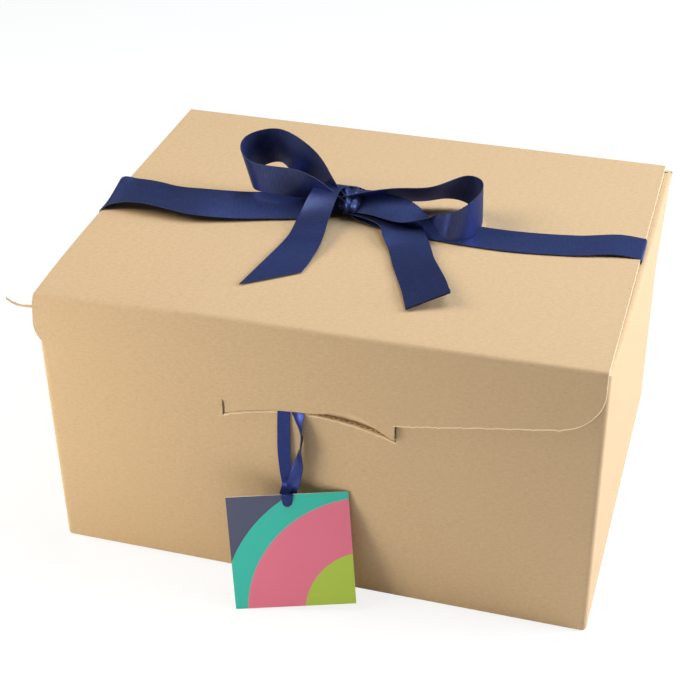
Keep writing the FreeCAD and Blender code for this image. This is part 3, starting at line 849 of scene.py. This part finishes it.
class GIFT_OT_sliver(bpy.types.Operator):
    """Make the torn sliver of liner that curls off the flap's left corner"""

    bl_idname = "gift.sliver"
    bl_label = "Torn Sliver"

    def execute(self, context):
        path = smooth_path(SLIVER, SLIVER_SPACING, SLIVER_EASE)
        torn = ribbon_shell(path[:, :3] * MM, path[:, 3:] * MM, SLIVER_THICKNESS)
        made = piece("torn_liner_sliver", [torn], board_materials())
        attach(made, "flap")
        return {"FINISHED"}


# The ribbons

# The lid's top under the knot, in millimetres.
KNOT = np.array([-20.0, 9.0, 183.0])

# Stations of the wide ribbon in millimetres from the lid's top under the knot: the middle of the
# ribbon, then the direction to its edge, longer than one at a slanted cut and shorter where the
# ribbon is gathered or seen turned.
LOOP_LEFT = [
    (2, 0, 7, 0.3, -0.7, 0.5),
    (-10, 4, 13, 0.5, -0.7, 0.6),
    (-21, 7, 23.5, 0.4, -0.4, 0.9),
    (-34, 8, 31, 0.2, -0.1, 1),
    (-47, 16, 32, 0, -0.2, 1),
    (-57, 14, 30, -0.1, -0.2, 1),
    (-63, 7, 28, -0.2, -0.2, 1),
    (-63, -2, 24, -0.2, -0.2, 1),
    (-56, -10, 22, -0.1, -0.05, 0.78),
    (-47, -10, 21, 0, 0.05, 0.72),
    (-30, -6, 18.5, 0.15, 0, 0.75),
    (-19, -4, 15, 0.4, -0.4, 0.75),
    (0, -2, 7, 0.3, -0.6, 0.4),
]
LOOP_RIGHT = [
    (-2, 0, 8, 0.1, -0.7, 0.5),
    (10, 1, 11, 0.2, -0.75, 0.65),
    (30, 5, 13.5, 0.2, -0.7, 0.72),
    (50, 10, 14, 0.3, -0.6, 0.72),
    (65, 17, 17, 0.3, -0.4, 0.8),
    (73, 20, 16, 0.1, -0.3, 0.9),
    (80, 16, 15, 0.1, -0.2, 1),
    (85, 8, 15, 0, -0.1, 1),
    (86, -3, 15, 0, -0.1, 1),
    (83, -14, 14, 0, -0.1, 1),
    (77, -20, 13, 0, 0, 0.78),
    (70, -24, 12, 0.05, 0.05, 0.68),
    (64, -19, 12, 0.05, 0.1, 0.45),
    (58, -15, 12, 0.1, -0.2, 0.15),
    (50, -12, 12, 0.1, -0.5, -0.1),
    (41, -11, 12, 0.1, -0.85, -0.2),
    (31, -9, 12, 0.1, -0.8, -0.25),
    (20, -6, 12, 0.1, -0.7, -0.3),
    (10, -3, 10, 0.1, -0.6, -0.3),
    (3, -2, 8, 0.2, -0.5, -0.2),
]
TAIL_LEFT = [
    (2, 7, 13, -0.8, 0, 0),
    (-4, 4, 16.5, -0.8, 0, 0),
    (-8.5, -3, 18, -0.7, 0, -0.05),
    (-10, -10, 16.5, -0.75, 0, -0.15),
    (-11.5, -18, 11, -0.8, 0.05, -0.2),
    (-12.5, -27, 6.5, -0.85, 0.1, -0.2),
    (-12, -38, 4.2, -0.9, 0.1, -0.2),
    (-12, -50, 3, -0.95, 0.1, -0.1),
    (-14, -66, 1.5, -1, 0.1, 0),
    (-18, -91, 1, -1.2, -0.9, 0),
]
TAIL_RIGHT = [
    (0, 0, 4, -0.2, -0.6, 0),
    (18, -2, 5, -0.3, -0.9, 0),
    (30, -7, 5, -0.5, -0.8, 0),
    (39, -15, 5, -0.8, -0.6, 0),
    (44, -25, 4, -0.9, -0.5, 0),
    (51, -38, 3, -0.9, -0.4, -0.1),
    (57, -53, 3, -0.9, -0.4, -0.1),
    (64, -68, 4, -0.9, -0.4, -0.2),
    (71, -83, 5, -0.9, -0.5, -0.2),
    (77, -98, 5, -0.9, -0.5, -0.3),
]
BAND_RIGHT = [
    (2, -2, 5, 0, 0.4, 0.1),
    (14, -4, 2, 0, 0.75, 0),
    (40, -7, 1, 0, 1, 0),
    (100, -11, 1, 0, 1, 0),
    (144, -6, 1, 0, 1, 0),
    (168, 0, 2, 0, 1, 0),
]
BAND_LEFT = [
    (-142, -25, 7, 0, 0.95, 0.3),
    (-132, -23, 8, 0, 1, 0.15),
    (-119, -24, 9, 0, 1, 0.1),
    (-104, -25, 8, 0, 1, 0.1),
    (-87, -26, 8, 0, 1, 0.2),
    (-63, -20, 6, 0, 0.95, 0.25),
    (-43, -13, 5, 0, 0.95, 0.25),
    (-25, -7, 4, 0, 0.95, 0.2),
    (-12, -4, 4, 0, 0.7, 0.2),
    (-2, -2, 5, 0, 0.4, 0.1),
]
WRAP = [
    (2, 8, 8, 0.6, 0.15, 0.1),
    (1, 5, 14.5, 0.68, 0.15, 0.1),
    (3, -1, 17, 0.7, 0.1, -0.05),
    (6, -7, 14, 0.62, 0.05, -0.15),
    (7, -10.5, 8, 0.58, 0.15, -0.1),
    (6, -8, 2.5, 0.5, 0.1, 0),
    (3, -1, 1, 0.5, 0, 0),
    (2, 6, 3, 0.5, 0, 0),
    (2, 8.5, 7, 0.6, 0.15, 0.1),
]
# At which depth the band crosses the lid's side edges, how far it lies off the lid, and how far
# it stands out where it turns under, in millimetres.
BAND_EDGE_RIGHT = 11.0
BAND_EDGE_LEFT = -18.0
BAND_LIFT = 0.35
BAND_OUT = 0.6
# A path's stations are a spacing apart and averaged over an ease, both in millimetres.
BAND_SPACING = 0.8
BAND_EASE = 3
STRAND_SPACING = 1.5
STRAND_EASE = 10
# The wrap has creases along it, this many to its width, and its edges are curled down.
WRAP_SPACING = 0.6
WRAP_EASE = 2
WRAP_CURL = -0.4
WRAP_CREASE = 1.1 * MM
CREASE_COUNT = 2.6
# The hem is a second layer on the right tail's last stations, and lies above it by the lift.
HEM_STATIONS = 3
HEM_LIFT = np.array([0, 0, 1.1, 0, 0, 0])
# Places across a ribbon, from edge to edge.
WIDTH = np.linspace(-1, 1, 15)


def smooth_path(rows, spacing, ease):
    """Stations a spacing apart on a smooth curve through the rows' six numbers.

    Between two rows each number follows the cubic whose slopes at the rows are those of the line
    from the row before to the row after, over the chord lengths. The curve is then averaged over
    a length to ease it.
    """
    knots = np.array(rows, float)
    at = distances(knots[:, :3])
    gaps = np.diff(at)
    slopes = np.empty(knots.shape)
    slopes[1:-1] = (knots[2:] - knots[:-2]) / (at[2:] - at[:-2])[:, None]
    slopes[0] = (knots[1] - knots[0]) / gaps[0]
    slopes[-1] = (knots[-1] - knots[-2]) / gaps[-1]
    places = np.linspace(0, at[-1], int(at[-1] / spacing))
    span = np.clip(np.searchsorted(at, places, side="right") - 1, 0, len(gaps) - 1)
    width = gaps[span][:, None]
    t = ((places - at[span]) / gaps[span])[:, None]
    curve = (
        (2 * t ** 3 - 3 * t ** 2 + 1) * knots[span]
        + (t ** 3 - 2 * t ** 2 + t) * width * slopes[span]
        + (3 * t ** 2 - 2 * t ** 3) * knots[span + 1]
        + (t ** 3 - t ** 2) * width * slopes[span + 1]
    )
    reach = 2 * int(ease / spacing / 2) + 1
    padded = np.pad(curve, ((reach // 2, reach // 2), (0, 0)), mode="reflect", reflect_type="odd")
    return np.stack([np.convolve(row, np.full(reach, 1 / reach), "valid") for row in padded.T], axis=1)


def ribbon_shell(middles, halves, thickness, curl=0, waves=0):
    """A ribbon along its middles, straight across from edge to edge but for a curl and waves.

    The curl lifts the edges by its share of the half width, as a square of the place across, and
    the waves are heights for each station and place. The thickness stands half on each side,
    along the direction square to the path and to the width.
    """
    along = np.gradient(middles, axis=0)
    along /= np.linalg.norm(along, axis=1)[:, None]
    rise = np.cross(along, halves)
    rise /= np.linalg.norm(rise, axis=1)[:, None]
    half = np.linalg.norm(halves, axis=1)[:, None]
    lift = curl * half * WIDTH ** 2 + waves
    sheet = middles[:, None] + halves[:, None] * WIDTH[None, :, None] + rise[:, None] * lift[..., None]
    step = rise[:, None] * (thickness / 2)
    reach = np.repeat(distances(middles)[:, None], len(WIDTH), axis=1)
    return shell(sheet + step, sheet - step, np.stack([WIDTH * half, reach], axis=2))


def from_knot(path, settings):
    """The middles and half widths in metres of a wide ribbon's path from the knot."""
    return (KNOT + path[:, :3]) * MM, path[:, 3:] * (settings.width / 2)


def strand(rows, settings, spacing=STRAND_SPACING, ease=STRAND_EASE, curl=0, creases=0):
    """A wide ribbon through rows of stations in millimetres from the knot.

    The creases run along it: a cosine across the width whose phase turns once along the ribbon.
    """
    path = smooth_path(rows, spacing, ease)
    turn = np.linspace(0, 2 * np.pi, len(path))[:, None] + WIDTH * CREASE_COUNT * np.pi
    return ribbon_shell(*from_knot(path, settings), settings.thickness, curl, creases * np.cos(turn))


def lid_edge(across, line, sense):
    """Stations, from the knot's origin, where the band turns under the lid's side edge.

    They lie on a half turn that is as high as the board and stands out by little.
    """
    drop = BOARD / MM + 2 * BAND_LIFT
    rows = []
    for angle in np.linspace(0, np.pi, BEND_ROWS):
        out = BAND_OUT * math.sin(angle)
        down = drop * (1 - math.cos(angle)) / 2
        rows.append((across + sense * out - KNOT[0], line - KNOT[1], BAND_LIFT - down, 0, 1, 0))
    return rows


class GIFT_OT_bow(bpy.types.Operator):
    """Make the wide satin ribbon: the band round the lid, knot, loops and tails"""

    bl_idname = "gift.bow"
    bl_label = "Bow"

    def execute(self, context):
        settings = context.scene.gift_ribbon
        right = lid_edge(LID_HIGH.x / MM + BAND_LIFT, BAND_EDGE_RIGHT, 1)
        left = lid_edge(LID_LOW.x / MM - BAND_LIFT, BAND_EDGE_LEFT, -1)[::-1]
        band = BAND_RIGHT + right + left + BAND_LEFT
        shells = [strand(band, settings, BAND_SPACING, BAND_EASE)]
        for rows in (LOOP_LEFT, LOOP_RIGHT, TAIL_LEFT, TAIL_RIGHT):
            shells.append(strand(rows, settings))
        shells.append(strand(WRAP, settings, WRAP_SPACING, WRAP_EASE, WRAP_CURL, WRAP_CREASE))
        hem = smooth_path(TAIL_RIGHT, STRAND_SPACING, STRAND_EASE)[-HEM_STATIONS:] + HEM_LIFT
        shells.append(ribbon_shell(*from_knot(hem, settings), settings.thickness))
        satin = satin_materials("woven_polyester_satin", settings.colour)
        made = piece("satin_ribbon_bow", shells, satin)
        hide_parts("ribbon_bow")
        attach(made, "lid")
        return {"FINISHED"}


# The tag

HOLE_STEPS = 128
CARD_RINGS = 12
NEARLY_NONE = 1e-9


def tag_turn(settings):
    """The card's turn: roll in its plane, then lean back from upright, then yaw."""
    return np.array(stood_up(settings.yaw, settings.lean, settings.roll, 3))


def tag_placed(points, settings):
    """Points of the card's own frame in the box's frame, with the card in its clearances."""
    turn = tag_turn(settings)
    half = settings.side / 2
    corners = np.array([(x, y, z) for x in (-half, half) for y in (-half, half)
                        for z in (0, settings.thickness)]) @ turn.T
    back = CARTON_LOW.y - settings.gap - corners[:, 1].max()
    rise = settings.gap - corners[:, 2].min()
    return points @ turn.T + np.array([settings.across, back, rise])


class GIFT_OT_tag(bpy.types.Operator):
    """Make the square card tag with its hole"""

    bl_idname = "gift.tag"
    bl_label = "Tag"

    def execute(self, context):
        settings = context.scene.gift_tag
        half = settings.side / 2
        hole = np.array([0, half - settings.hole_margin])
        corners = np.arctan2([half, half, -half, -half] - hole[1], [half, -half, -half, half])
        angle = np.linspace(0, 2 * np.pi, HOLE_STEPS + 1)[:-1]
        angle = np.unique(np.concatenate([angle, corners % (2 * np.pi)]))
        angle = np.append(angle, angle[0])
        ring = np.stack([np.cos(angle), np.sin(angle)], axis=1)
        room = np.where(ring > 0, half - hole, half + hole)
        reach = np.min(room / np.maximum(np.abs(ring), NEARLY_NONE), axis=1)
        share = np.linspace(0, 1, CARD_RINGS)[:, None, None]
        inside = hole + ring * settings.hole / 2
        outside = hole + ring * reach[:, None]
        flat = inside[None] * (1 - share) + outside[None] * share
        lower = np.concatenate([flat, np.zeros(flat.shape[:2] + (1,))], axis=2)
        upper = lower + np.array([0, 0, settings.thickness])
        card = shell(upper, lower, flat, ring=True)
        card["points"] = tag_placed(card["points"], settings)
        stock = [once("offset_printed_card", printed_card, settings), once("white_card_stock", bare_card)]
        made = piece("tag_card", [card], stock)
        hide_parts("tag")
        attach(made, "tag")
        return {"FINISHED"}


# Stations of the tag's ribbon in millimetres from the lip where it hangs: the middle of the ribbon,
# then the direction to its edge. The left strand goes down behind the card, and the right one comes
# up before it, turned edge-on a third of the way down.
HANG_LEFT = [
    (-4.2, 0, 0, 0.95, 0, 0),
    (-4.3, -0.5, -5, 0.95, 0, 0),
    (-4.4, -1.2, -14, 0.95, 0, 0),
    (-4.2, -2.2, -28, 0.95, 0.05, 0),
    (-3.2, -3.2, -42, 0.85, 0.1, 0),
    (-2.4, -4, -50, 0.75, 0.1, 0),
]
HANG_RIGHT = [
    (0.2, -6.5, -55, 0.85, -0.3, 0),
    (1.8, -6, -48, 0.95, -0.3, 0),
    (3.6, -5.5, -41, 0.95, -0.3, 0),
    (5.4, -5, -33, 0.8, -0.5, 0),
    (6.6, -4.8, -26, 0.5, -0.85, 0),
    (7.2, -4, -18.5, 0.12, -1, 0),
    (6.3, -3, -12.5, 0.4, -0.9, 0),
    (4.9, -1.6, -6, 0.75, -0.6, 0),
    (4.3, -0.4, -1.5, 0.95, -0.2, 0),
    (4.2, 0, 0, 0.95, 0, 0),
]
# Stations at the hole, in millimetres from its middle in the card's own directions: first on the
# card's back, then on its face.
HOLE_BEHIND = [(-1.6, 5, -1.2, 0.7, 0, 0), (-0.2, -0.8, -0.9, 0.5, 0, 0)]
HOLE_BEFORE = [(-0.1, -1.7, 0.9, 0.56, 0, 0), (0.1, 2.5, 1.7, 0.8, 0, 0), (0.4, 7, 2, 0.85, 0, -0.1)]
# Where the ribbon hangs across the box, how far below the tuck's top, and how it goes over the
# lip: how far off the wall's inside, where it rounds the lip's two sides, how far it rises and
# falls there, and how far down it ends, in millimetres.
HANG_LINE = -13.0
HANG_SINK = 0.2
HANG_SPACING = 0.5
HANG_EASE = 2
TUCK_OFF = 0.3
LIP_ROUND = 0.5
LIP_RISE = 0.35
LIP_FALL = 0.4
TUCK_DEPTH = 14.0
TUCK_EDGE = 0.95
TUCK_SPACING = 0.2
TUCK_EASE = 0.6
# The crease that the hole presses in: how far the edges bend up and how far along it reaches.
HOLE_CREASE = 0.9 * MM
HOLE_CREASE_REACH = 9 * MM


def hanging_path(tag):
    """Stations of the hanging loop in the box's millimetres, from the left end to the right end."""
    lip = np.array([HANG_LINE, CARTON_LOW.y / MM - tag.gap / MM, LIP_TOP / MM - HANG_SINK])
    hole = np.array([0, tag.side / 2 - tag.hole_margin, 0])

    def at_lip(rows):
        """Rows of stations moved to the lip."""
        return [(*(lip + row[:3]), *row[3:]) for row in rows]

    def at_hole(rows):
        """Rows of stations of the card's own frame, moved to the hole and turned with the card."""
        places = tag_placed(hole + np.array([row[:3] for row in rows]) * MM, tag) / MM
        halves = np.array([row[3:] for row in rows]) @ tag_turn(tag).T
        return np.concatenate([places, halves], axis=1).tolist()

    rows = at_lip(HANG_LEFT) + at_hole(HOLE_BEHIND) + at_hole(HOLE_BEFORE) + at_lip(HANG_RIGHT)
    return smooth_path(rows, HANG_SPACING, HANG_EASE)


class GIFT_OT_hanger(bpy.types.Operator):
    """Make the tag's narrow ribbon, folded double through the hole and tucked over the slot's lip"""

    bl_idname = "gift.hanger"
    bl_label = "Tag Ribbon"

    def execute(self, context):
        ribbon, tag = context.scene.gift_ribbon, context.scene.gift_tag
        path = hanging_path(tag)
        middles = path[:, :3] * MM
        halves = path[:, 3:] * (ribbon.narrow / 2)
        hole = tag_placed(np.array([[0, tag.side / 2 - tag.hole_margin, 0]]), tag)[0]
        away = np.linalg.norm(middles - hole, axis=1)
        before = np.arange(len(away)) > away.argmin()
        crease = HOLE_CREASE * np.exp(-(away / HOLE_CREASE_REACH) ** 2) * before
        loop = ribbon_shell(middles, halves, ribbon.thickness, waves=crease[:, None] * np.abs(WIDTH))
        satin = satin_materials("narrow_woven_satin", ribbon.narrow_colour)
        made = piece("tag_ribbon_satin", [loop], satin)
        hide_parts("tag_ribbon")
        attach(made, "tag")
        outside, top = middles[0][1:] / MM
        inside = (CARTON_LOW.y + BOARD) / MM + TUCK_OFF
        stations = [
            (outside, top), (outside + LIP_ROUND, top + LIP_RISE), (inside - LIP_ROUND, top + LIP_RISE),
            (inside, top - LIP_FALL), (inside, top - TUCK_DEPTH / 2), (inside, top - TUCK_DEPTH),
        ]
        ends = []
        for across in (middles[0][0] / MM, middles[-1][0] / MM):
            rows = [(across, depth, height, TUCK_EDGE, 0, 0) for depth, height in stations]
            bent = smooth_path(rows, TUCK_SPACING, TUCK_EASE)
            halves = bent[:, 3:] * (ribbon.narrow / 2)
            ends.append(ribbon_shell(bent[:, :3] * MM, halves, ribbon.thickness))
        tuck = piece("tag_ribbon_ends", ends, satin)
        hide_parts("tag_ribbon_tuck")
        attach(tuck, "carton")
        return {"FINISHED"}


# The stage

# Lamps: name, place, what it points at, size, power, colour, and whether it lights matt surfaces.
LAMPS = (
    ("right_softbox", (1.3, 0.3, 0.7), (0, 0, 0.08), 0.9, 27.5, (0.87, 0.92, 1), True),
    ("top_softbox", (0.35, 0.3, 1.45), (0, 0, 0.1), 1.1, 12.5, (0.74, 0.86, 1), True),
    ("left_softbox", (-0.9, -0.3, 1), (0, 0, 0.1), 0.9, 10.5, (1, 0.93, 0.8), True),
    ("low_card", (-0.45, -0.5, 0.05), (-0.1, -0.12, 0.06), 0.3, 2.2, (1, 0.99, 0.88), True),
    ("front_reflector", (-0.5, -1.1, 0.4), (-0.05, 0, 0.18), 0.9, 20, (1, 1, 1), False),
)
SENSOR_WIDTH = 36
NEAREST_SEEN = 0.01
FLOOR_REACH = 3.0
FLOOR_SHADE = 0.9
FLOOR_GLOW = 1.08
GLOW_SHARE = 0.75


def mixed_shaders(tree, rays, share, first, second):
    """The first shader, mixed by a share with the second for rays of either of two kinds."""
    path = node(tree, "ShaderNodeLightPath").outputs
    seen = maths(tree, "MULTIPLY", maths(tree, "MAXIMUM", *(path[ray] for ray in rays)), share)
    return node(tree, "ShaderNodeMixShader", links={
        0: seen, 1: first.outputs[0], 2: second.outputs[0]}).outputs[0]


class GIFT_OT_stage(bpy.types.Operator):
    """Make the floor, the lights and the camera at the photographed view

    The front reflector shows in the satin's highlights and adds nothing to the board's light.
    """

    bl_idname = "gift.stage"
    bl_label = "Stage"

    def execute(self, context):
        settings = context.scene.gift_stage
        context.scene.view_settings.view_transform = "Standard"
        lens = bpy.data.cameras.new("camera")
        lens.lens = settings.lens
        lens.sensor_width = SENSOR_WIDTH
        lens.clip_start = NEAREST_SEEN
        camera = linked("camera", lens)
        turn = stood_up(-settings.yaw, settings.pitch, settings.roll, 4)
        camera.matrix_world = Matrix.Translation(Vector(settings.camera_place)) @ turn
        context.scene.camera = camera
        self.sky(context.scene, settings.sky)
        self.floor()
        for name, place, aim, size, power, tint, lights_matt in LAMPS:
            lamp = bpy.data.lights.new(name, "AREA")
            lamp.shape = "DISK"
            lamp.size = size
            lamp.energy = power
            lamp.color = tint
            held = linked(name, lamp)
            held.visible_diffuse = lights_matt
            held.location = place
            held.rotation_euler = (Vector(aim) - Vector(place)).to_track_quat("-Z", "Y").to_euler()
        return {"FINISHED"}

    def sky(self, scene, strength):
        """A faint even light that is plain white to the camera."""
        world = bpy.data.worlds.new("studio")
        scene.world = world
        world.use_nodes = True
        tree = world.node_tree
        tree.nodes.clear()
        light, white = (
            node(tree, "ShaderNodeBackground", {"Color": (1, 1, 1, 1), "Strength": value})
            for value in (strength, 1)
        )
        mixed = mixed_shaders(tree, ("Is Camera Ray", "Is Transmission Ray"), 1, light, white)
        node(tree, "ShaderNodeOutputWorld", links={"Surface": mixed})

    def floor(self):
        """A wide flat floor, white to the camera and in reflections, that keeps a soft shadow."""
        mesh = bpy.data.meshes.new("floor")
        corners = [(-1, -1), (1, -1), (1, 1), (-1, 1)]
        corners = [(x * FLOOR_REACH, y * FLOOR_REACH, 0) for x, y in corners]
        mesh.from_pydata(corners, [], [(0, 1, 2, 3)])
        floor = linked("floor", mesh)
        material, tree = new_material("white_paper_sweep")
        matt = node(tree, "ShaderNodeBsdfDiffuse", {"Color": (FLOOR_SHADE, FLOOR_SHADE, FLOOR_SHADE, 1)})
        glow = node(tree, "ShaderNodeEmission", {"Strength": FLOOR_GLOW})
        mixed = mixed_shaders(tree, ("Is Camera Ray", "Is Glossy Ray"), GLOW_SHARE, matt, glow)
        node(tree, "ShaderNodeOutputMaterial", links={"Surface": mixed})
        mesh.materials.append(material)


class GIFT_PT_panel(bpy.types.Panel):
    """The gift box's pieces and sizes"""

    bl_label = "Gift Box"
    bl_idname = "GIFT_PT_panel"
    bl_space_type = "VIEW_3D"
    bl_region_type = "UI"
    bl_category = "Gift Box"

    def draw(self, context):
        for operator in OPERATORS:
            self.layout.operator(operator.bl_idname)
        for name in GROUPS:
            group = getattr(context.scene, name)
            for key in group.bl_rna.properties.keys():
                if key not in ("rna_type", "name"):
                    self.layout.prop(group, key)


OPERATORS = (
    GIFT_OT_stage,
    GIFT_OT_carton,
    GIFT_OT_lid,
    GIFT_OT_hinge,
    GIFT_OT_sliver,
    GIFT_OT_bow,
    GIFT_OT_tag,
    GIFT_OT_hanger,
)
GROUPS = {
    "gift_board": BoardSettings,
    "gift_ribbon": RibbonSettings,
    "gift_tag": TagSettings,
    "gift_stage": StageSettings,
}
CLASSES = (*GROUPS.values(), *OPERATORS, GIFT_PT_panel)


def register():
    for kind in CLASSES:
        bpy.utils.register_class(kind)
    for name, group in GROUPS.items():
        setattr(bpy.types.Scene, name, PointerProperty(type=group))


def unregister():
    for name in GROUPS:
        delattr(bpy.types.Scene, name)
    for kind in reversed(CLASSES):
        bpy.utils.unregister_class(kind)


def main():
    register()
    bpy.ops.gift.stage()
    bpy.ops.gift.carton()
    bpy.ops.gift.lid()
    bpy.ops.gift.hinge()
    bpy.ops.gift.sliver()
    bpy.ops.gift.bow()
    bpy.ops.gift.tag()
    bpy.ops.gift.hanger()


if __name__ == "__main__":
    main()
